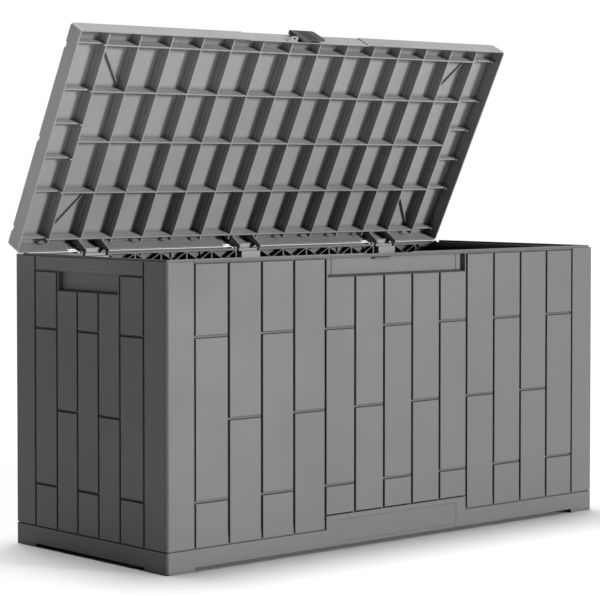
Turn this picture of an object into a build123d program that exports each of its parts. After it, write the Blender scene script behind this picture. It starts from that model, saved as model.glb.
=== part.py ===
"""Deck storage box: a moulded base, four planked wall panels and a ribbed lid on three pin hinges.

Millimetres, +Z up, origin on the ground under the middle of the footprint. The box is longest along X,
its front faces -Y and its hinges run along the top of the back wall. The lid is drawn closed and then
turned to its resting place, open by LID_OPEN degrees.
"""

from build123d import *
import math
import os

os.makedirs("parts", exist_ok=True)

# Overall size
WIDTH = 1210.0
DEPTH = 496.0
SHOULDER = 588.0
LID_THICKNESS = 38.0
LID_OPEN = 63.0
HALF_W = WIDTH / 2
HALF_D = DEPTH / 2
CORNER_RADIUS = 8.0

# Moulded walls
SKIN = 3.5
GROOVE_WIDTH = 4.5
GROOVE_DEPTH = 5.0
GROOVE_FLARE = 1.0
RIB_WALL = 2.5
HALF_GROOVE = GROOVE_WIDTH / 2

# Planks
FRONT_STRIP = 69.0
SIDE_STRIP = 70.0
FRONT_CENTRE_PLANK = 80.7
SIDE_CENTRE_PLANK = 69.0
HIGH_CUT = 445.0
MIDDLE_CUT = 284.0
LOW_CUT = 131.0
FRONT_EDGE = HALF_W - FRONT_STRIP
SIDE_EDGE = HALF_D - SIDE_STRIP

# Base
FEET_HEIGHT = 7.5
FOOT_LENGTH = 69.0
FOOT_WIDTH = 20.0
SEAM_HEIGHT = 43.6
SEAM_GAP = 2.5
PLINTH_TOP = 70.0
PANEL_RECESS = 0.8
PLATE_HALF = 171.0
PLATE_BOTTOM = 15.0
PLATE_TOP = 59.0
TONGUE_TOP = 60.0
LEDGE_TOP = 11.0
FLOOR_TOP = 14.0
FLOOR_RIB = 3.0
FLOOR_RIB_BOTTOM = 4.0
FLOOR_RIBS_Y = [-150.0, -50.0, 50.0, 150.0]
FLOOR_RIBS_X = [-450.0, -300.0, -150.0, 150.0, 300.0, 450.0]
PAD_HALF_X = 60.0
PAD_HALF_Y = 45.0

# Rim rail and lip
LIP_INSET = 5.0
LIP_HEIGHT = 5.0
LIP_THICKNESS = 4.0
RAIL_INSET = 16.0
RAIL_BOTTOM = 578.0
STRIP_HEIGHT = 2.2
UNDERLINE = 2.2
PLANK_TOP = SHOULDER - STRIP_HEIGHT - UNDERLINE
LIP_REAR_END = 225.0
LIP_NOTCH = (-94.0, 46.0)
LIP_NOTCH_DROP = 1.5

# Finger recess in the front, handle pocket in each side
POCKET_DEPTH = 10.0
POCKET_MARGIN = 3.5
RECESS_DROP = 36.0
RECESS_SLOPE = 5.0
HANDLE_RAIL = 28.0
HANDLE_HEIGHT = 35.0
HANDLE_SLOPE = 4.0
RECESS_LINE_INSET = 18.0
RECESS_LINE_WIDTH = 1.2
RECESS_LINE_DEPTH = 0.5

# Hinge line and lid
RIM = SHOULDER + 4.5
LID_TOP = RIM + LID_THICKNESS
AXIS_Y = HALF_D - 2.5
AXIS_Z = RIM + 3.0
HINGE_SITES = {"left": -417.0, "centre": 0.0, "right": 417.0}
PIN_RADIUS = 2.0
PIN_CLEARANCE = 0.05
KNUCKLE_RADIUS = 4.0
BOSS_RADIUS = 5.0
BLOCK_HALF = 26.5
BLOCK_DEPTH = 30.0
BLOCK_BOTTOM = 565.0
BLOCK_SHELF = 582.5
LUG_GAP = 1.0
LUG_THICKNESS = 4.0
LUG_NEAR = BLOCK_HALF + LUG_GAP
LUG_FAR = LUG_NEAR + LUG_THICKNESS
LUG_TIP = 571.0
SLOT_CLEARANCE = 0.8
HINGE_ROOM = LUG_FAR + SLOT_CLEARANCE
REAR_UPSTAND = 3.0
PIN_TAIL = 23.0
PIN_HEAD = 1.5
LID_SIDE_GAP = 1.0
LID_SKIN = 3.0
LID_RIB = 3.0
RIB_SHORTFALL = 10.0
RIB_FEET = [(3.5, 11.0), (5.5, 5.0)]
GUSSET_LENGTH = 12.0
END_RIB_DROP = 8.0
BRACE_HEIGHT = 6.0
LID_COLUMNS = 15
CROSS_RIBS = [34.0, 136.0, 248.0, 364.0, 472.0]
END_CROSS_RIBS = [34.0, 136.0, 211.0, 288.0, 364.0, 472.0]
TOP_GROOVES = [0.095, 0.51, 0.92]
TOP_GROOVE_WIDTH = 12.0
TOP_GROOVE_DEPTH = 1.2
END_NOTCH_DEPTH = 5.0
LATCH_BAY = 167.0
LATCH_BAY_DEPTH = 2.0
BAY_WALL = 2.4

# Padlock tab on the lid and catch tab on the box
TAB_LEFT = -66.0
TAB_RIGHT = -39.5
TAB_REACH = 11.0
TAB_THICKNESS = 4.0
TAB_HOLE = 6.0
STRIKE_LEFT = -65.0
STRIKE_RIGHT = -17.0
STRIKE_TOP = 583.4
STRIKE_THICKNESS = 2.5
STRIKE_FRONT = 2.0
STRIKE_WEB_BOTTOM = 560.0
STRIKE_SCREW_Z = 568.0

# Truss inside the back wall
BAND_BOTTOM = 561.5
BAND_DEPTH = 20.0
TOP_FLANGE = 4.0
TRUSS_BAR = 3.4
BAYS = 5

# Latch
LATCH_LEFT = -37.0
LATCH_RIGHT = 31.0
LATCH_FRONT = -HALF_D - 9.2
LATCH_WALL = 2.5
LATCH_PLATE = 4.5
LATCH_HEAD = 13.0
LATCH_BOTTOM = RIM - 7.0
LATCH_TOP = LID_TOP - 0.5
LATCH_BACK = -HALF_D - 0.6
LATCH_PIVOT_Y = -HALF_D - 3.5
LATCH_PIVOT_Z = LATCH_TOP - 3.2
LATCH_PIN_RADIUS = 1.5
LATCH_CORNER = 7.0
BEAD = 2.5
EAR_WIDTH = 6.0
EAR_RADIUS = 2.9
EAR_LEFTS = [LATCH_LEFT + 9.0, LATCH_RIGHT - 15.0]
GRIP_LINES = [-17.0, -9.0, -1.0, 7.0]
GRIP_WIDTH = 3.0
GRIP_DEPTH = 2.2


def block(x0, x1, y0, y1, z0, z1):
    """A solid box between two corners."""
    middle = Pos((x0 + x1) / 2, (y0 + y1) / 2, (z0 + z1) / 2)
    return middle * Box(x1 - x0, y1 - y0, z1 - z0)


def prism_x(points, x0, x1):
    """A polygon of (y, z) points, drawn out along X from x0 to x1."""
    outline = make_face(Polyline(*[(x0, y, z) for y, z in points], close=True))
    return extrude(outline, amount=x1 - x0, dir=(1, 0, 0))


def prism_z(points, z0, z1):
    """A polygon of (x, y) points, drawn out along Z from z0 to z1."""
    outline = make_face(Polyline(*[(x, y, z0) for x, y in points], close=True))
    return extrude(outline, amount=z1 - z0, dir=(0, 0, 1))


def rod_x(x0, x1, y, z, radius):
    """A round bar along X."""
    return Pos((x0 + x1) / 2, y, z) * Rot(0, 90, 0) * Cylinder(radius, x1 - x0)


def rod_y(y0, y1, x, z, radius):
    """A round bar along Y."""
    return Pos(x, (y0 + y1) / 2, z) * Rot(90, 0, 0) * Cylinder(radius, y1 - y0)


def rounded_slab(inset, z0, z1):
    """The footprint, drawn in by an inset, as a slab with rounded corners."""
    radius = max(CORNER_RADIUS - inset, 1.0)
    outline = RectangleRounded(WIDTH - 2 * inset, DEPTH - 2 * inset, radius)
    return Pos(0, 0, z0) * extrude(outline, amount=z1 - z0)


def ring(outer_inset, inner_inset, z0, z1):
    """A closed band that follows the footprint between two insets."""
    return rounded_slab(outer_inset, z0, z1) - rounded_slab(inner_inset, z0 - 1, z1 + 1)


def save(shape, node):
    """Write one node's solids to its own file."""
    solids = shape.solids()
    export_step(Compound(children=list(solids)) if len(solids) > 1 else solids[0], f"parts/{node}.step")
    print(node, len(solids), "solid(s)", round(shape.volume / 1000, 1), "cm3")


# Plank pattern. A wall is drawn in its own frame: X along it, outer face at y = 0, +Y inwards.


def upright_groove(x, z0, z1):
    """A groove with flared lips that runs up the wall."""
    wide = HALF_GROOVE + GROOVE_FLARE
    section = [
        (x - wide, -1),
        (x - wide, 0),
        (x - HALF_GROOVE, GROOVE_FLARE),
        (x - HALF_GROOVE, GROOVE_DEPTH),
        (x + HALF_GROOVE, GROOVE_DEPTH),
        (x + HALF_GROOVE, GROOVE_FLARE),
        (x + wide, 0),
        (x + wide, -1),
    ]
    return prism_z(section, z0, z1)


def cross_groove(x0, x1, z):
    """A groove with flared lips that runs along the wall."""
    wide = HALF_GROOVE + GROOVE_FLARE
    section = [
        (-1, z - wide),
        (0, z - wide),
        (GROOVE_FLARE, z - HALF_GROOVE),
        (GROOVE_DEPTH, z - HALF_GROOVE),
        (GROOVE_DEPTH, z + HALF_GROOVE),
        (GROOVE_FLARE, z + HALF_GROOVE),
        (0, z + wide),
        (-1, z + wide),
    ]
    return prism_x(section, x0, x1)


def plank_edges(edge, centre_plank, centre_count, outer_count):
    """Positions of the upright grooves, from one corner strip to the other."""
    centre_half = centre_plank * centre_count / 2
    outer_plank = (edge - centre_half) / outer_count
    left = [-edge + outer_plank * i for i in range(outer_count)]
    middle = [-centre_half + centre_plank * i for i in range(centre_count + 1)]
    return left + middle + [-x for x in reversed(left)]


def plank_pattern(edges, bottom, top, low_half, low_top):
    """Groove cutters and the ribs behind them. Planks inside low_half stop at low_top."""
    cutters = []
    ribs = []
    rib_half = HALF_GROOVE + RIB_WALL
    rib_depth = GROOVE_DEPTH + RIB_WALL
    for x in edges[1:-1]:
        reach = low_top if abs(x) < low_half - 1 else top
        cutters.append(upright_groove(x, bottom, reach))
        ribs.append(block(x - rib_half, x + rib_half, 0, rib_depth, TONGUE_TOP + 1, reach))
    for i in range(len(edges) - 1):
        heights = [MIDDLE_CUT] if i % 2 else [LOW_CUT, HIGH_CUT]
        for z in heights:
            cutters.append(cross_groove(edges[i], edges[i + 1], z))
            ribs.append(block(edges[i], edges[i + 1], 0, rib_depth, z - rib_half, z + rib_half))
    return cutters, ribs


def pocket(half, top, bottom, slope):
    """The wall behind a pocket and the space it leaves, with a sloping sill."""
    wall = block(
        -half - POCKET_MARGIN, half + POCKET_MARGIN, 0, POCKET_DEPTH + SKIN, bottom - slope - SKIN, top
    )
    sill = [(-1, bottom - slope), (0, bottom - slope), (POCKET_DEPTH, bottom), (POCKET_DEPTH, top), (-1, top)]
    return wall, prism_x(sill, -half, half)


FRONT_EDGES = plank_edges(FRONT_EDGE, FRONT_CENTRE_PLANK, 5, 4)
SIDE_EDGES = plank_edges(SIDE_EDGE, SIDE_CENTRE_PLANK, 3, 1)
RECESS_HALF = FRONT_EDGES[9] - HALF_GROOVE - POCKET_MARGIN
HANDLE_HALF = SIDE_EDGES[4] - HALF_GROOVE - POCKET_MARGIN
RECESS_BOTTOM = SHOULDER - RECESS_DROP
HANDLE_TOP = SHOULDER - HANDLE_RAIL
HANDLE_BOTTOM = HANDLE_TOP - HANDLE_HEIGHT
WALL_BOTTOM = SEAM_HEIGHT + SEAM_GAP / 2
BASE_TOP = SEAM_HEIGHT - SEAM_GAP / 2
FLANGE_REACH = 14.0
FLANGE_TOP = RAIL_BOTTOM - 1.0
SCREW_HEIGHTS = [90.0, 310.0, 530.0]
PANEL_SCREW_X = FRONT_EDGE + 8.0
HINGE_SCREW_X = 16.0
HINGE_SCREW_Z = 575.0
HINGE_SCREW_LENGTH = 16.0
STRIKE_SCREW = 1.5
SCREW_SHANK = 2.0
SCREW_HEAD = 4.5
HEAD_HEIGHT = 2.5


def panel_screws(sign_y, cutter):
    """The screws that tie a long panel's end flanges to the side panels, or only their shanks."""
    shapes = []
    tip = sign_y * (HALF_D - SKIN + HEAD_HEIGHT)
    seat = sign_y * (HALF_D - 2 * SKIN)
    top = seat - sign_y * HEAD_HEIGHT
    for x in (-PANEL_SCREW_X, PANEL_SCREW_X):
        for z in SCREW_HEIGHTS:
            screw = rod_y(min(tip, seat), max(tip, seat), x, z, SCREW_SHANK)
            if not cutter:
                screw += rod_y(min(seat, top), max(seat, top), x, z, SCREW_HEAD)
            shapes.append(screw)
    return shapes


def long_wall(top, low_half=0, low_top=0):
    """The planked plate of a long wall, with the flanges that slip behind the corner strips."""
    end = FRONT_EDGE - HALF_GROOVE
    overlap = 4.0
    cutters, ribs = plank_pattern(FRONT_EDGES, WALL_BOTTOM - 1, top, low_half, low_top)
    plate = block(-end, end, 0, SKIN, WALL_BOTTOM, top)
    flanges = [
        block(-FRONT_EDGE - FLANGE_REACH, -end + overlap, SKIN, 2 * SKIN, TONGUE_TOP + 1, FLANGE_TOP),
        block(end - overlap, FRONT_EDGE + FLANGE_REACH, SKIN, 2 * SKIN, TONGUE_TOP + 1, FLANGE_TOP),
    ]
    return plate + ribs + flanges, cutters


def make_front_panel():
    """Front wall: planks, finger recess, rim strip above a dark line, rail and lip."""
    strip_bottom = SHOULDER - STRIP_HEIGHT
    recess_wall, recess = pocket(RECESS_HALF, strip_bottom, RECESS_BOTTOM, RECESS_SLOPE)
    wall, cutters = long_wall(PLANK_TOP, FRONT_EDGES[9], RECESS_BOTTOM - RECESS_SLOPE)
    rail = block(-FRONT_EDGE, FRONT_EDGE, SKIN, RAIL_INSET, RAIL_BOTTOM, SHOULDER)
    strip = block(-FRONT_EDGE, FRONT_EDGE, 0, RAIL_INSET, strip_bottom, SHOULDER)
    underline = block(-HALF_W, HALF_W, -1, LIP_INSET, PLANK_TOP, strip_bottom)
    lip_back = LIP_INSET + LIP_THICKNESS
    lip_top = SHOULDER + LIP_HEIGHT
    lip = block(-FRONT_EDGE, FRONT_EDGE, LIP_INSET, lip_back, SHOULDER - 1, lip_top)
    lip_notch = block(*LIP_NOTCH, 0, lip_back + 1, lip_top - LIP_NOTCH_DROP, lip_top + 1)
    plinth_x = FRONT_EDGES[9] + HALF_GROOVE
    plinth_gap = block(-plinth_x, plinth_x, -1, SKIN, 0, PLINTH_TOP + SEAM_GAP)
    half_line = RECESS_LINE_WIDTH / 2
    line_end = POCKET_DEPTH + RECESS_LINE_DEPTH
    recess_lines = [
        block(x - half_line, x + half_line, POCKET_DEPTH - 1, line_end, RECESS_BOTTOM, strip_bottom)
        for x in (RECESS_LINE_INSET - RECESS_HALF, RECESS_HALF - RECESS_LINE_INSET)
    ]
    panel = (wall + recess_wall + rail) - cutters - [recess, plinth_gap, underline]
    panel = (panel + strip + lip) - [lip_notch] - recess_lines
    panel = Pos(0, -HALF_D, 0) * panel
    return panel - strike_body() - panel_screws(-1, cutter=True) - strike_screws(cutter=True)


def truss_bar(top_x, bottom_x, low, high):
    """One sloping bar of the truss, from the top flange to the bottom one."""
    lean = math.copysign(TRUSS_BAR / 2, bottom_x - top_x)
    points = [
        (top_x, high),
        (top_x + 2 * lean, high),
        (bottom_x + lean, low),
        (bottom_x - lean, low),
    ]
    outline = make_face(Polyline(*[(x, SKIN, z) for x, z in points], close=True))
    return extrude(outline, amount=BAND_DEPTH - SKIN, dir=(0, 1, 0))


def truss():
    """Flanges, uprights and sloping bars that stiffen the top edge of the back wall."""
    low = BAND_BOTTOM + SKIN
    high = SHOULDER - TOP_FLANGE
    half = TRUSS_BAR / 2
    shapes = [
        block(-FRONT_EDGE, FRONT_EDGE, 0, BAND_DEPTH, high, SHOULDER),
        block(-FRONT_EDGE, FRONT_EDGE, SKIN, BAND_DEPTH, BAND_BOTTOM, low),
    ]
    first = LUG_FAR + SLOT_CLEARANCE + half
    sites = sorted(HINGE_SITES.values())
    bay = (sites[1] - sites[0] - 2 * first) / BAYS
    rows = [(site + first, BAYS) for site in sites[:-1]]
    rows += [(sites[-1] + first, 1), (sites[0] - first - bay, 1)]
    for start, count in rows:
        for i in range(count):
            left = start + i * bay
            middle = left + bay / 2
            shapes.append(truss_bar(left, middle, low, high))
            shapes.append(truss_bar(left + bay, middle, low, high))
        for i in range(count + 1):
            x = start + i * bay
            shapes.append(block(x - half, x + half, SKIN, BAND_DEPTH, low, high))
    return shapes


def make_back_panel():
    """Back wall: planks outside, a low upstand on top, and a stiffening band inside the top edge."""
    wall, cutters = long_wall(SHOULDER)
    hinge_rooms = [
        block(x - HINGE_ROOM, x + HINGE_ROOM, SKIN, BAND_DEPTH + 1, BAND_BOTTOM - 1, SHOULDER + 1)
        for x in HINGE_SITES.values()
    ]
    edge = FRONT_EDGE + HALF_GROOVE
    upstand = block(-edge, edge, 0, SKIN, SHOULDER, SHOULDER + REAR_UPSTAND)
    upstand -= [
        block(x - HINGE_ROOM, x + HINGE_ROOM, -1, SKIN + 1, SHOULDER - 1, SHOULDER + REAR_UPSTAND + 1)
        for x in HINGE_SITES.values()
    ]
    panel = (wall + truss()) - cutters - hinge_rooms + upstand
    panel = Pos(0, HALF_D, 0) * Rot(0, 0, 180) * panel
    return panel - panel_screws(1, cutter=True) - hinge_screws()


def make_side_panel():
    """Right-hand wall with its two corner strips, which wrap round to the front and the back."""
    strip_start = FRONT_EDGE + HALF_GROOVE
    keep = block(strip_start, HALF_W + 1, -HALF_D - 1, HALF_D + 1, 0, SHOULDER + 20)
    keep_rail = block(FRONT_EDGE, HALF_W + 1, -HALF_D - 1, HALF_D + 1, 0, SHOULDER + 20)
    shell = ring(0, SKIN, WALL_BOTTOM, SHOULDER) & keep
    rail = ring(SKIN, RAIL_INSET, RAIL_BOTTOM, SHOULDER) & keep_rail
    lip = ring(LIP_INSET, LIP_INSET + LIP_THICKNESS, SHOULDER - 1, SHOULDER + LIP_HEIGHT) & keep_rail
    lip -= block(0, HALF_W, LIP_REAR_END, HALF_D, SHOULDER, SHOULDER + 20)
    keep_rear = block(strip_start, HALF_W + 1, HALF_D - CORNER_RADIUS, HALF_D + 1, 0, SHOULDER + 20)
    upstand = ring(0, SKIN, SHOULDER - 1, SHOULDER + REAR_UPSTAND) & keep_rear
    low_top = HANDLE_BOTTOM - HANDLE_SLOPE
    cutters, ribs = plank_pattern(SIDE_EDGES, WALL_BOTTOM - 1, HANDLE_TOP, SIDE_EDGES[4], low_top)
    rib_half = HALF_GROOVE + RIB_WALL
    rib_depth = GROOVE_DEPTH + RIB_WALL
    near, far = SIDE_EDGES[0], SIDE_EDGES[-1]
    for x in (near, far):
        cutters.append(upright_groove(x, WALL_BOTTOM - 1, SHOULDER + 1))
        ribs.append(block(x - rib_half, x + rib_half, 0, rib_depth, TONGUE_TOP + 1, SHOULDER))
    cutters.append(cross_groove(near, far, HANDLE_TOP))
    ribs.append(block(near, far, 0, rib_depth, HANDLE_TOP - rib_half, HANDLE_TOP + rib_half))
    pocket_wall, hollow = pocket(HANDLE_HALF, HANDLE_TOP, HANDLE_BOTTOM, HANDLE_SLOPE)
    outwards = Pos(HALF_W, 0, 0) * Rot(0, 0, 90)
    added = [outwards * rib for rib in ribs] + [outwards * pocket_wall, rail, lip, upstand]
    removed = [outwards * cutter for cutter in cutters] + [outwards * hollow]
    panel = (shell + added) - removed
    return panel - panel_screws(-1, cutter=True) - panel_screws(1, cutter=True)


def corner_foot(side_x, side_y):
    """One corner foot: a short length of the base ring, taken down to the ground."""
    x_far, x_near = side_x * HALF_W, side_x * (HALF_W - FOOT_LENGTH)
    y_far, y_near = side_y * HALF_D, side_y * (HALF_D - FOOT_LENGTH)
    corner = block(
        min(x_far, x_near), max(x_far, x_near), min(y_far, y_near), max(y_far, y_near), 0, FEET_HEIGHT + 1
    )
    return ring(0, FOOT_WIDTH, 0, FEET_HEIGHT + 1) & corner


def make_base_frame():
    """Lower band of the box with four corner feet, a floor ledge and the raised front plinth."""
    band = ring(0, SKIN, FEET_HEIGHT, BASE_TOP)
    tongue = ring(SKIN, 2 * SKIN, BASE_TOP - 6, TONGUE_TOP)
    ledge = ring(0, FOOT_WIDTH, FEET_HEIGHT, LEDGE_TOP)
    feet = [corner_foot(side_x, side_y) for side_x in (-1, 1) for side_y in (-1, 1)]
    plinth_x = FRONT_EDGES[9] - HALF_GROOVE
    plinth = block(-plinth_x, plinth_x, -HALF_D, -HALF_D + SKIN, BASE_TOP - 1, PLINTH_TOP)
    plate_recess = block(
        -PLATE_HALF, PLATE_HALF, -HALF_D - 1, -HALF_D + PANEL_RECESS, PLATE_BOTTOM, PLATE_TOP
    )
    return band + [tongue, ledge, plinth] + feet - plate_recess


def make_floor_panel():
    """Floor that drops on to the ledge, ribbed below, with a support pad under its middle."""
    plate = rounded_slab(SKIN + 0.5, LEDGE_TOP, FLOOR_TOP)
    reach_x = HALF_W - FOOT_WIDTH - 2
    reach_y = HALF_D - FOOT_WIDTH - 2
    half = FLOOR_RIB / 2
    ribs = [block(-reach_x, reach_x, y - half, y + half, FLOOR_RIB_BOTTOM, LEDGE_TOP) for y in FLOOR_RIBS_Y]
    ribs += [block(x - half, x + half, -reach_y, reach_y, FLOOR_RIB_BOTTOM, LEDGE_TOP) for x in FLOOR_RIBS_X]
    pad = block(-PAD_HALF_X, PAD_HALF_X, -PAD_HALF_Y, PAD_HALF_Y, 0, LEDGE_TOP)
    return plate + ribs + pad


def strike_body():
    """An angle: a thin tab out through the recess wall, and a web down the wall's inner side."""
    inner = -HALF_D + RAIL_INSET
    tab = block(
        STRIKE_LEFT, STRIKE_RIGHT, -HALF_D + STRIKE_FRONT, inner + STRIKE_THICKNESS,
        STRIKE_TOP - STRIKE_THICKNESS, STRIKE_TOP,
    )
    web = block(STRIKE_LEFT, STRIKE_RIGHT, inner, inner + STRIKE_THICKNESS, STRIKE_WEB_BOTTOM, STRIKE_TOP)
    return tab + web


def make_strike_plate():
    """Small catch tab under the front rim."""
    return strike_body() - strike_screws(cutter=True)


def strike_screws(cutter):
    """Two small screws from inside the box, through the catch tab's web into the rim rail."""
    shapes = []
    seat = -HALF_D + RAIL_INSET + STRIKE_THICKNESS
    for x in (STRIKE_LEFT + 10, STRIKE_RIGHT - 10):
        screw = rod_y(seat - 6, seat, x, STRIKE_SCREW_Z, STRIKE_SCREW)
        if not cutter:
            screw += rod_y(seat, seat + 1.6, x, STRIKE_SCREW_Z, 2 * STRIKE_SCREW)
        shapes.append(screw)
    return shapes


def hinge_screws():
    """Two countersunk screws for each hinge block, driven through the back wall."""
    shapes = []
    for site in HINGE_SITES.values():
        for x in (site - HINGE_SCREW_X, site + HINGE_SCREW_X):
            shank = rod_y(HALF_D - HINGE_SCREW_LENGTH, HALF_D - 1.5, x, HINGE_SCREW_Z, SCREW_SHANK)
            head = rod_y(HALF_D - 1.5, HALF_D, x, HINGE_SCREW_Z, SCREW_HEAD)
            shapes.append(shank + head)
    return shapes


def make_hinge_block(site):
    """Block in the stiffening band, with a neck and an arm above it that carry a knuckle."""
    left = site - BLOCK_HALF
    right = site + BLOCK_HALF
    back = HALF_D - SKIN
    body = block(left, right, HALF_D - BLOCK_DEPTH, back, BLOCK_BOTTOM, BLOCK_SHELF)
    neck = block(left, right, HALF_D - BAND_DEPTH, back, BLOCK_SHELF - 1, SHOULDER)
    arm = block(left, right, AXIS_Y - KNUCKLE_RADIUS, HALF_D, SHOULDER, AXIS_Z)
    knuckle = rod_x(left, right, AXIS_Y, AXIS_Z, KNUCKLE_RADIUS)
    bore = rod_x(left - 1, right + 1, AXIS_Y, AXIS_Z, PIN_RADIUS + PIN_CLEARANCE)
    return body + [neck, arm, knuckle] - bore - hinge_screws()


def make_hinge_pin(site):
    """Steel hinge pin: a plain bar with a thin head, and a tail that shows past the left lug."""
    bar = rod_x(site - LUG_FAR - PIN_TAIL, site + LUG_FAR, AXIS_Y, AXIS_Z, PIN_RADIUS)
    head = rod_x(site + LUG_FAR, site + LUG_FAR + PIN_HEAD, AXIS_Y, AXIS_Z, PIN_RADIUS + 1.2)
    return bar + head


# Lid, drawn closed


def lid_lug(site, side):
    """One of the pair of webs that hang past the rim, inside the back wall, and hold a hinge pin."""
    x0 = min(site + side * LUG_NEAR, site + side * LUG_FAR)
    x1 = max(site + side * LUG_NEAR, site + side * LUG_FAR)
    front = -HALF_D + CROSS_RIBS[-1]
    wall = HALF_D - SKIN - 1.2
    points = [
        (front, LID_TOP - END_NOTCH_DEPTH),
        (front, RIM + RIB_SHORTFALL),
        (front + 5, RIM + RIB_SHORTFALL - 1),
        (front + 10, LUG_TIP),
        (front + 15, LUG_TIP - 1),
        (wall, LUG_TIP + 5),
        (wall, AXIS_Z - 3),
        (AXIS_Y + 2.5, AXIS_Z),
        (AXIS_Y + 2.5, LID_TOP - END_NOTCH_DEPTH),
    ]
    return prism_x(points, x0, x1) + rod_x(x0, x1, AXIS_Y, AXIS_Z, BOSS_RADIUS)


def lid_ribs():
    """The egg-crate of ribs under the lid, each long rib on a stepped foot where it joins the skin."""
    low = RIM + RIB_SHORTFALL
    high = LID_TOP - LID_SKIN + 0.5
    half = LID_RIB / 2
    front = -HALF_D
    column = WIDTH / LID_COLUMNS
    last = HALF_W - column
    rear = front + CROSS_RIBS[-1]
    shapes = []
    for k in range(1, LID_COLUMNS):
        x = -HALF_W + k * column
        shapes.append(block(x - half, x + half, front + 1, rear, low, high))
        for foot_half, foot_height in RIB_FEET:
            shapes.append(block(x - foot_half, x + foot_half, front + 1, rear, high - foot_height, high))
        shapes.append(block(x - half, x + half, rear, rear + GUSSET_LENGTH, low + 1, high))
    for y in CROSS_RIBS:
        shapes.append(block(-last, last, front + y - half, front + y + half, low, high))
    for y in END_CROSS_RIBS:
        for side in (-1, 1):
            shapes += end_cross_rib(side, front + y - half, front + y + half, low, high)
    return shapes


def end_cross_rib(side, y0, y1, low, high):
    """A cross rib in an end column: low along its middle, taller at each end."""
    column = WIDTH / LID_COLUMNS
    inner = HALF_W - column
    outer = HALF_W - LID_SIDE_GAP - 1
    spans = [
        (inner, outer, low + END_RIB_DROP),
        (inner, inner + column * 0.08, low),
        (inner + column * 0.80, outer, low + END_RIB_DROP / 2),
    ]
    return [
        block(min(side * a, side * b), max(side * a, side * b), y0, y1, bottom, high)
        for a, b, bottom in spans
    ]


def lid_braces():
    """Thin low diagonals near the four corners of the lid."""
    high = LID_TOP - LID_SKIN + 0.5
    column = WIDTH / LID_COLUMNS
    x_in = HALF_W - 2 * column + 4
    x_out = HALF_W - column - 4
    front = (-HALF_D + CROSS_RIBS[1] - 3, -HALF_D + CROSS_RIBS[0] + 3)
    rear = (-HALF_D + CROSS_RIBS[3] + 3, -HALF_D + CROSS_RIBS[4] - 3)
    shapes = []
    for side in (-1, 1):
        for y_in, y_out in (front, rear):
            start = Vector(side * x_in, y_in)
            end = Vector(side * x_out, y_out)
            across = (end - start).normalized().rotate(Axis.Z, 90)
            corners = [start + across, end + across, end - across, start - across]
            shapes.append(prism_z([(p.X, p.Y) for p in corners], high - BRACE_HEIGHT, high))
    return shapes


def lid_top_groove(fraction):
    """A shallow groove across the top skin, with a deeper notch and a backing pad at each end."""
    y = -HALF_D + fraction * DEPTH
    half = TOP_GROOVE_WIDTH / 2
    notch_floor = LID_TOP - END_NOTCH_DEPTH
    cutters = [block(-HALF_W, HALF_W, y - half, y + half, LID_TOP - TOP_GROOVE_DEPTH, LID_TOP + 1)]
    pads = []
    wall_x = HALF_W - LID_SIDE_GAP - LID_SKIN
    for side in (-1, 1):
        x0, x1 = sorted((side * HALF_W, side * wall_x))
        cutters.append(block(x0, x1, y - half, y + half, notch_floor, LID_TOP + 1))
        x0, x1 = sorted((side * (wall_x + 1), side * (wall_x - LID_SKIN)))
        wide = half + LID_SKIN
        pads.append(block(x0, x1, y - wide, y + wide, notch_floor - LID_SKIN, LID_TOP - 1))
    return cutters, pads


def hinge_notches(site):
    """Gaps in the rear skirt for the knuckle between the lugs, and for the pin's tail and head."""
    spans = [
        (-LUG_NEAR, LUG_NEAR),
        (-LUG_FAR - PIN_TAIL - 4, -LUG_FAR),
        (LUG_FAR, LUG_FAR + 5),
    ]
    inside = HALF_D - LID_SKIN - 1
    top = AXIS_Z + BOSS_RADIUS + 1.5
    return [block(site + a, site + b, inside, HALF_D + 1, RIM - 1, top) for a, b in spans]


def padlock_tab():
    """A tab at the foot of the front skirt, with a square hole for a padlock."""
    root = -HALF_D + LATCH_BAY_DEPTH + 1
    tip = root - 1 - TAB_REACH
    tab = block(TAB_LEFT, TAB_RIGHT, tip, root, RIM, RIM + TAB_THICKNESS)
    outer_left = tab.edges().filter_by(Axis.Z).group_by(Axis.Y)[0].sort_by(Axis.X)[0]
    tab = chamfer(outer_left, TAB_REACH - 2)
    x = (TAB_LEFT + TAB_RIGHT) / 2 + 3
    y = tip + 2
    hole = block(x - TAB_HOLE / 2, x + TAB_HOLE / 2, y, y + TAB_HOLE - 1.5, RIM - 1, RIM + TAB_THICKNESS + 1)
    return tab - hole


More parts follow.
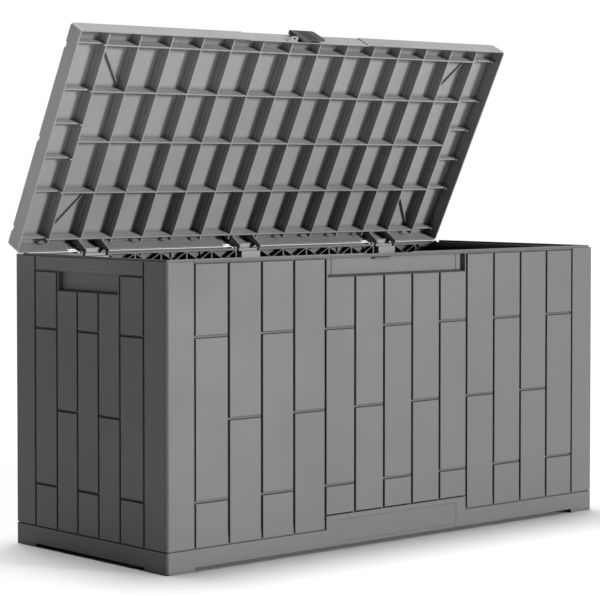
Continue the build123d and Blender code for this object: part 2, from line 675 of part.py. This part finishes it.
def make_lid():
    """One ribbed moulding with deep skirts, hinge lugs, ears for the latch and a padlock tab."""
    half_x = HALF_W - LID_SIDE_GAP
    outline = RectangleRounded(2 * half_x, DEPTH, CORNER_RADIUS)
    outer = Pos(0, 0, RIM) * extrude(outline, amount=LID_THICKNESS)
    outer = chamfer(outer.faces().sort_by(Axis.Z)[-1].edges(), 1.5)
    inside = RectangleRounded(2 * (half_x - LID_SKIN), DEPTH - 2 * LID_SKIN, CORNER_RADIUS - LID_SKIN)
    inner = Pos(0, 0, RIM - 1) * extrude(inside, amount=LID_THICKNESS - LID_SKIN + 1)
    groove_cutters = []
    pads = []
    for fraction in TOP_GROOVES:
        cutters, backing = lid_top_groove(fraction)
        groove_cutters += cutters
        pads += backing
    bay_face = -HALF_D + LATCH_BAY_DEPTH
    bay_wall = block(-LATCH_BAY - 3, LATCH_BAY + 3, bay_face - 1, bay_face + BAY_WALL, RIM, LID_TOP - 1)
    bay = block(-LATCH_BAY, LATCH_BAY, -HALF_D - 1, bay_face, RIM - 1, LID_TOP + 1)
    bay_inside = block(-LATCH_BAY, LATCH_BAY, bay_face + BAY_WALL, bay_face + LID_SKIN + 1, RIM - 1, RIM + 6)
    lugs = [lid_lug(site, side) for site in HINGE_SITES.values() for side in (-1, 1)]
    notches = [notch for site in HINGE_SITES.values() for notch in hinge_notches(site)]
    ears = [latch_ear(x) for x in EAR_LEFTS]
    ear_bore = rod_x(LATCH_LEFT, LATCH_RIGHT, LATCH_PIVOT_Y, LATCH_PIVOT_Z, LATCH_PIN_RADIUS + PIN_CLEARANCE)
    pin_bores = [
        rod_x(site - LUG_FAR - 5, site + LUG_FAR + 5, AXIS_Y, AXIS_Z, PIN_RADIUS)
        for site in HINGE_SITES.values()
    ]
    lid = (outer - inner) + pads + lid_ribs() + lid_braces() + [bay_wall]
    lid = lid - notches + lugs
    lid = lid - groove_cutters - [bay, bay_inside] + ears + padlock_tab()
    return lid - pin_bores - [ear_bore]


def latch_ear(x):
    """One of the two ears on the lid's front skirt that carry the latch pin."""
    root = -HALF_D + LATCH_BAY_DEPTH + 1
    low = LATCH_PIVOT_Z - EAR_RADIUS
    high = LATCH_PIVOT_Z + EAR_RADIUS
    arm = block(x, x + EAR_WIDTH, LATCH_PIVOT_Y, root, low, high)
    return arm + rod_x(x, x + EAR_WIDTH, LATCH_PIVOT_Y, LATCH_PIVOT_Z, EAR_RADIUS)


def make_latch_lever():
    """Grip plate with four finger grooves, cheeks at its top for the pin, and a bead at its foot."""
    solid = block(LATCH_LEFT, LATCH_RIGHT, LATCH_FRONT, LATCH_BACK, LATCH_BOTTOM, LATCH_TOP)
    edges = solid.edges().filter_by(Axis.Y)
    low_left = edges.group_by(Axis.Z)[0].sort_by(Axis.X)[0]
    high_right = edges.group_by(Axis.Z)[-1].sort_by(Axis.X)[-1]
    solid = fillet([low_left, high_right], LATCH_CORNER)
    head_low = LATCH_TOP - LATCH_HEAD
    between_cheeks = block(
        LATCH_LEFT + LATCH_WALL, LATCH_RIGHT - LATCH_WALL, LATCH_FRONT + LATCH_WALL, LATCH_BACK + 1,
        head_low + LATCH_WALL, LATCH_TOP + 1,
    )
    plate_back = LATCH_FRONT + LATCH_PLATE
    behind_plate = block(
        LATCH_LEFT - 1, LATCH_RIGHT + 1, plate_back, LATCH_BACK + 1, LATCH_BOTTOM - 1, head_low
    )
    half = GRIP_WIDTH / 2
    grooves = [
        block(x - half, x + half, LATCH_FRONT - 1, LATCH_FRONT + GRIP_DEPTH, LATCH_BOTTOM - 1, LATCH_TOP - 4)
        for x in GRIP_LINES
    ]
    bead = block(
        LATCH_LEFT + 8, LATCH_LEFT + 28, plate_back - 1, plate_back + BEAD, LATCH_BOTTOM, LATCH_BOTTOM + BEAD
    )
    bore = rod_x(LATCH_LEFT - 1, LATCH_RIGHT + 1, LATCH_PIVOT_Y, LATCH_PIVOT_Z, LATCH_PIN_RADIUS)
    return solid - between_cheeks - behind_plate - grooves + bead - bore


def make_latch_pin():
    """Steel pin across the latch."""
    return rod_x(LATCH_LEFT + 0.5, LATCH_RIGHT - 0.5, LATCH_PIVOT_Y, LATCH_PIVOT_Z, LATCH_PIN_RADIUS)


def opened(shape):
    """Turn a piece of the closed lid to where it rests, about the hinge line."""
    hinge_line = Axis((0, AXIS_Y, AXIS_Z), (-1, 0, 0))
    return shape.rotate(hinge_line, LID_OPEN)


save(make_base_frame(), "base_frame")
save(make_floor_panel(), "floor_panel")
save(make_front_panel(), "front_panel")
save(make_back_panel(), "back_panel")
right_side = make_side_panel()
save(right_side, "right_side_panel")
save(right_side.mirror(Plane.YZ), "left_side_panel")
save(Compound(children=panel_screws(-1, cutter=False) + panel_screws(1, cutter=False)), "panel_screws")
save(make_strike_plate(), "strike_plate")
save(Compound(children=strike_screws(cutter=False)), "strike_screws")
save(Compound(children=hinge_screws()), "hinge_screws")
for name, site in HINGE_SITES.items():
    save(make_hinge_block(site), f"hinge_block_{name}")
    save(opened(make_hinge_pin(site)), f"hinge_pin_{name}")
save(opened(make_lid()), "lid")
save(opened(make_latch_lever()), "latch_lever")
save(opened(make_latch_pin()), "latch_pin")
print("hinge line", round(AXIS_Y, 3), round(AXIS_Z, 3))
latch_pivot = opened(make_latch_pin()).center()
print("latch pivot", round(latch_pivot.Y, 3), round(latch_pivot.Z, 3))
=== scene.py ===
import math

import bpy
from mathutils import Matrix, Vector


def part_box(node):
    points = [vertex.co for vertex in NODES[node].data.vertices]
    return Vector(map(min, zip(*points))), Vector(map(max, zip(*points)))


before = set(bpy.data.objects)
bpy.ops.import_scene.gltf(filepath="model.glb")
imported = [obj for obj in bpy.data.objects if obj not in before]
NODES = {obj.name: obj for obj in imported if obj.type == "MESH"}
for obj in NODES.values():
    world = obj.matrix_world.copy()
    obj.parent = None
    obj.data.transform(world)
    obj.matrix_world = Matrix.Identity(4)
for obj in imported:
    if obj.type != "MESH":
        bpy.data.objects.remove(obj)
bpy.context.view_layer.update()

SCENE = bpy.context.scene

LID_LOW, LID_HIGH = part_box("lid")
LID_MIDDLE = (LID_LOW + LID_HIGH) / 2

CAMERA_PLACE = (-3.1168, -3.4412, 0.7646)
CAMERA_YAW = 41.714
CAMERA_PITCH = 2.0
CAMERA_LENS = 130.63
CAMERA_SHIFT = -0.0897

KEY_STRENGTH = 4.0
TOP_STRENGTH = 4.2
END_POWER = 0.22
END_PLACE = (-3.0, 0.75, LID_MIDDLE.z + 0.35)
SURROUND = 0.01
FLOOR_TONE = 0.73
FLOOR_HALF = 90.0

BODY_BEVEL = 0.0007
LID_BEVEL = 0.0004
METAL_BEVEL = 0.0002
WELD_DISTANCE = 0.00001
FLAT_ANGLE = 0.5
SHARP_ANGLE = 40


# ---------------------------------------------------------------- camera, floor and light


def make_camera():
    """A long lens a little above the rim, looking at the front left corner."""
    data = bpy.data.cameras.new("camera")
    data.sensor_width = 36.0
    data.lens = CAMERA_LENS
    data.shift_y = CAMERA_SHIFT
    data.clip_start = 0.1
    data.clip_end = 100.0
    camera = bpy.data.objects.new("camera", data)
    camera.location = CAMERA_PLACE
    yaw = math.radians(CAMERA_YAW)
    pitch = math.radians(CAMERA_PITCH)
    camera.rotation_euler = (math.pi / 2 - pitch, 0.0, -yaw)
    SCENE.collection.objects.link(camera)
    SCENE.camera = camera


def aim(lamp, direction):
    """Turn a lamp so that its light travels along a direction."""
    lamp.rotation_euler = Vector(direction).to_track_quat("-Z", "Y").to_euler()
    SCENE.collection.objects.link(lamp)


def broad_light(name, azimuth, elevation, strength, softness):
    """A soft, even light from far away. Azimuth 0 is the front, positive towards the right."""
    data = bpy.data.lights.new(name, "SUN")
    data.energy = strength
    data.angle = math.radians(softness)
    lamp = bpy.data.objects.new(name, data)
    across = math.radians(azimuth)
    up = math.radians(elevation)
    toward = Vector((math.sin(across) * math.cos(up), -math.cos(across) * math.cos(up), math.sin(up)))
    lamp.location = toward * 5.0
    aim(lamp, -toward)


def soft_box(name, place, target, size, power, spread):
    """A square lamp with a grid, which lights only what it is aimed at."""
    data = bpy.data.lights.new(name, "AREA")
    data.shape = "RECTANGLE"
    data.size, data.size_y = size
    data.energy = power
    data.spread = math.radians(spread)
    lamp = bpy.data.objects.new(name, data)
    lamp.location = place
    aim(lamp, Vector(target) - Vector(place))


def make_surround(strength):
    """A white backdrop for the eye, which gives only a little light of its own."""
    world = bpy.data.worlds.new("surround")
    SCENE.world = world
    world.use_nodes = True
    nodes = world.node_tree.nodes
    links = world.node_tree.links
    nodes.clear()
    path = nodes.new("ShaderNodeLightPath")
    seen = nodes.new("ShaderNodeBackground")
    seen.inputs["Color"].default_value = (1.0, 1.0, 1.0, 1.0)
    seen.inputs["Strength"].default_value = 1.0
    unseen = nodes.new("ShaderNodeBackground")
    unseen.inputs["Color"].default_value = (0.97, 0.98, 1.0, 1.0)
    unseen.inputs["Strength"].default_value = strength
    mix = nodes.new("ShaderNodeMixShader")
    out = nodes.new("ShaderNodeOutputWorld")
    links.new(path.outputs["Is Camera Ray"], mix.inputs[0])
    links.new(unseen.outputs[0], mix.inputs[1])
    links.new(seen.outputs[0], mix.inputs[2])
    links.new(mix.outputs[0], out.inputs["Surface"])


def make_floor(tone):
    """A plain pale floor."""
    mesh = bpy.data.meshes.new("floor")
    half = FLOOR_HALF
    corners = [(-half, -half, 0.0), (half, -half, 0.0), (half, half, 0.0), (-half, half, 0.0)]
    mesh.from_pydata(corners, [], [(0, 1, 2, 3)])
    floor = bpy.data.objects.new("floor", mesh)
    SCENE.collection.objects.link(floor)
    material = bpy.data.materials.new("floor")
    material.use_nodes = True
    shader = material.node_tree.nodes["Principled BSDF"]
    shader.inputs["Base Color"].default_value = (tone, tone, tone, 1.0)
    shader.inputs["Roughness"].default_value = 0.9
    shader.inputs["Specular IOR Level"].default_value = 0.0
    mesh.materials.append(material)


make_camera()
broad_light("key", azimuth=28.0, elevation=6.0, strength=KEY_STRENGTH, softness=12.0)
broad_light("top", azimuth=150.0, elevation=80.0, strength=TOP_STRENGTH, softness=30.0)
lid_end = (LID_LOW.x, LID_MIDDLE.y, LID_MIDDLE.z)
soft_box("lid_end", END_PLACE, lid_end, size=(0.5, 0.5), power=END_POWER, spread=7.0)
make_surround(SURROUND)
make_floor(FLOOR_TONE)
SCENE.view_settings.view_transform = "Standard"


# ---------------------------------------------------------------- materials


def scaled_noise(nodes, links, place, scale, detail, stretch=(1.0, 1.0, 1.0)):
    """Noise in the object's own space, optionally drawn out along an axis."""
    mapping = nodes.new("ShaderNodeMapping")
    mapping.inputs["Scale"].default_value = stretch
    links.new(place.outputs["Object"], mapping.inputs["Vector"])
    noise = nodes.new("ShaderNodeTexNoise")
    noise.inputs["Scale"].default_value = scale
    noise.inputs["Detail"].default_value = detail
    links.new(mapping.outputs["Vector"], noise.inputs["Vector"])
    return noise


def maths(nodes, links, operation, first, second):
    """A two-input maths node; each input is a socket or a number."""
    node = nodes.new("ShaderNodeMath")
    node.operation = operation
    node.use_clamp = operation in ("MULTIPLY", "ADD", "SUBTRACT")
    for i, value in enumerate((first, second)):
        if isinstance(value, (int, float)):
            node.inputs[i].default_value = value
        else:
            links.new(value, node.inputs[i])
    return node.outputs[0]


def remap(nodes, links, value, low, high, to_low, to_high):
    """A clamped linear change of range."""
    node = nodes.new("ShaderNodeMapRange")
    node.inputs["From Min"].default_value = low
    node.inputs["From Max"].default_value = high
    node.inputs["To Min"].default_value = to_low
    node.inputs["To Max"].default_value = to_high
    links.new(value, node.inputs["Value"])
    return node.outputs["Result"]


def blend_colour(nodes, links, factor, first, second):
    """Mix two colours; each is a socket or a grey tone."""
    node = nodes.new("ShaderNodeMix")
    node.data_type = "RGBA"
    links.new(factor, node.inputs["Factor"])
    for name, value in (("A", first), ("B", second)):
        socket = [s for s in node.inputs if s.name == name and s.type == "RGBA"][0]
        if isinstance(value, (int, float)):
            socket.default_value = (value, value, value, 1.0)
        else:
            links.new(value, socket)
    return [s for s in node.outputs if s.type == "RGBA"][0]


def edge_mask(nodes, links, radius):
    """High where the surface turns sharply, from how far a rounded normal leaves the flat one."""
    rounded = nodes.new("ShaderNodeBevel")
    rounded.samples = 4
    rounded.inputs["Radius"].default_value = radius
    flat = nodes.new("ShaderNodeNewGeometry")
    dot = nodes.new("ShaderNodeVectorMath")
    dot.operation = "DOT_PRODUCT"
    links.new(rounded.outputs["Normal"], dot.inputs[0])
    links.new(flat.outputs["Normal"], dot.inputs[1])
    return remap(nodes, links, dot.outputs["Value"], 0.99, 0.80, 0.0, 1.0)


def resin(name, tone, roughness=0.5, crevice_shade=0.35, reach=0.012):
    """Moulded resin: mottled tone, scuffed edges lightened partly by wear and partly as a painted
    highlight, painted shade darkening the grooves and corners, fine leathery stipple.
    """
    material = bpy.data.materials.new(name)
    material.use_nodes = True
    nodes = material.node_tree.nodes
    links = material.node_tree.links
    shader = nodes["Principled BSDF"]
    shader.inputs["Specular IOR Level"].default_value = 0.35
    place = nodes.new("ShaderNodeTexCoord")
    cloud = scaled_noise(nodes, links, place, scale=7.0, detail=6.0)
    streak = scaled_noise(nodes, links, place, scale=5.0, detail=4.0, stretch=(9.0, 9.0, 0.6))
    stipple = scaled_noise(nodes, links, place, scale=700.0, detail=4.0)
    pore = nodes.new("ShaderNodeTexVoronoi")
    pore.inputs["Scale"].default_value = 420.0
    links.new(place.outputs["Object"], pore.inputs["Vector"])

    mottle = blend_colour(nodes, links, remap(nodes, links, cloud.outputs["Fac"], 0.3, 0.7, 0.0, 1.0),
                          tone * 0.94, tone * 1.06)
    faint = remap(nodes, links, streak.outputs["Fac"], 0.45, 0.75, 0.0, 0.5)
    streaked = blend_colour(nodes, links, faint, mottle, tone * 0.93)
    speck = remap(nodes, links, stipple.outputs["Fac"], 0.35, 0.75, 0.0, 0.35)
    grained = blend_colour(nodes, links, speck, streaked, tone * 1.12)

    # Edges are lightened to 1.7 times the tone: partly scuffed wear, partly a painted highlight where
    # the edges catch the light.
    edges = edge_mask(nodes, links, 0.0012)
    broken = remap(nodes, links, cloud.outputs["Fac"], 0.35, 0.65, 0.35, 0.9)
    edge_wear_and_highlight = maths(nodes, links, "MULTIPLY", edges, broken)
    scuffed_and_highlit = blend_colour(nodes, links, maths(nodes, links, "MULTIPLY", edge_wear_and_highlight, 0.5), grained, tone * 1.7)

    # Painted shade: ambient occlusion blends grooves, corners and recesses towards a near-black tone,
    # standing in for the shade that falls there.
    shade = nodes.new("ShaderNodeAmbientOcclusion")
    shade.samples = 6
    shade.inputs["Distance"].default_value = reach
    painted_groove_shade = remap(nodes, links, shade.outputs["AO"], 0.42, 0.80, 1.0 - crevice_shade, 0.0)
    coloured = blend_colour(nodes, links, painted_groove_shade, scuffed_and_highlit, tone * 0.12)
    links.new(coloured, shader.inputs["Base Color"])

    sheen = remap(nodes, links, cloud.outputs["Fac"], 0.25, 0.75, roughness - 0.06, roughness + 0.08)
    polished = maths(nodes, links, "SUBTRACT", sheen, maths(nodes, links, "MULTIPLY", edge_wear_and_highlight, 0.12))
    links.new(polished, shader.inputs["Roughness"])

    height = maths(nodes, links, "ADD", stipple.outputs["Fac"], pore.outputs["Distance"])
    bump = nodes.new("ShaderNodeBump")
    bump.inputs["Strength"].default_value = 0.3
    bump.inputs["Distance"].default_value = 0.0003
    links.new(height, bump.inputs["Height"])
    links.new(bump.outputs["Normal"], shader.inputs["Normal"])
    return material


def steel(name, tone, roughness):
    """Zinc-plated steel: fine lengthwise draw marks, blotchy plating and small dull spots."""
    material = bpy.data.materials.new(name)
    material.use_nodes = True
    nodes = material.node_tree.nodes
    links = material.node_tree.links
    shader = nodes["Principled BSDF"]
    shader.inputs["Metallic"].default_value = 1.0
    place = nodes.new("ShaderNodeTexCoord")
    drawn = scaled_noise(nodes, links, place, scale=900.0, detail=3.0, stretch=(0.03, 1.0, 1.0))
    blotch = scaled_noise(nodes, links, place, scale=160.0, detail=5.0)
    mottle = blend_colour(nodes, links, remap(nodes, links, blotch.outputs["Fac"], 0.35, 0.7, 0.0, 1.0),
                          tone, tone * 0.72)
    lined = blend_colour(nodes, links, remap(nodes, links, drawn.outputs["Fac"], 0.5, 0.8, 0.0, 0.4),
                         mottle, tone * 0.5)
    links.new(lined, shader.inputs["Base Color"])
    rough = remap(nodes, links, blotch.outputs["Fac"], 0.3, 0.7, roughness - 0.08, roughness + 0.14)
    links.new(rough, shader.inputs["Roughness"])
    bump = nodes.new("ShaderNodeBump")
    bump.inputs["Strength"].default_value = 0.25
    bump.inputs["Distance"].default_value = 0.0001
    links.new(drawn.outputs["Fac"], bump.inputs["Height"])
    links.new(bump.outputs["Normal"], shader.inputs["Normal"])
    return material


BODY_RESIN = resin("body_resin", 0.09)
# The lid resin is the body resin at a lighter tone, painted lighter to stand in for the brighter light
# that falls on the lid.
LID_RESIN = resin("lid_resin", 0.245)
# The latch resin carries the strongest painted shade, darkening its grip grooves.
DARK_RESIN = resin("dark_resin", 0.055, 0.45, crevice_shade=0.85, reach=0.005)
STEEL = steel("steel", 0.55, 0.36)
PIN_STEEL = steel("pin_steel", 0.8, 0.3)


# ---------------------------------------------------------------- CAD nodes


def dress(node, material, bevel=BODY_BEVEL, merge_flats=True, smooth=True):
    """Give a CAD node its material and, where a bevel is asked for, softly rounded edges."""
    piece = NODES[node]
    piece.data.materials.clear()
    piece.data.materials.append(material)
    weld = piece.modifiers.new("weld", "WELD")
    weld.merge_threshold = WELD_DISTANCE
    if merge_flats:
        flat = piece.modifiers.new("flat", "DECIMATE")
        flat.decimate_type = "DISSOLVE"
        flat.angle_limit = math.radians(FLAT_ANGLE)
    if bevel:
        soft = piece.modifiers.new("soft", "BEVEL")
        soft.width = bevel
        soft.segments = 2
        soft.limit_method = "ANGLE"
        soft.angle_limit = math.radians(SHARP_ANGLE)
        soft.use_clamp_overlap = False
    if smooth:
        normals = piece.modifiers.new("normals", "WEIGHTED_NORMAL")
        normals.keep_sharp = False
    for polygon in piece.data.polygons:
        polygon.use_smooth = smooth


for node in NODES:
    if node.startswith("hinge_pin"):
        dress(node, PIN_STEEL, METAL_BEVEL)
    elif node.endswith("screws") or node == "latch_pin":
        dress(node, STEEL, METAL_BEVEL)
    elif node == "lid":
        dress(node, LID_RESIN, LID_BEVEL, merge_flats=False)
    # The hinge blocks take the lighter lid resin, painted lighter to stand in for the light on their
    # faces.
    elif node.startswith("hinge_block"):
        dress(node, LID_RESIN)
    elif node.startswith("latch"):
        dress(node, DARK_RESIN, bevel=0.0, merge_flats=False, smooth=False)
    elif node == "back_panel":
        dress(node, BODY_RESIN, bevel=0.0, merge_flats=False, smooth=False)
    else:
        dress(node, BODY_RESIN)
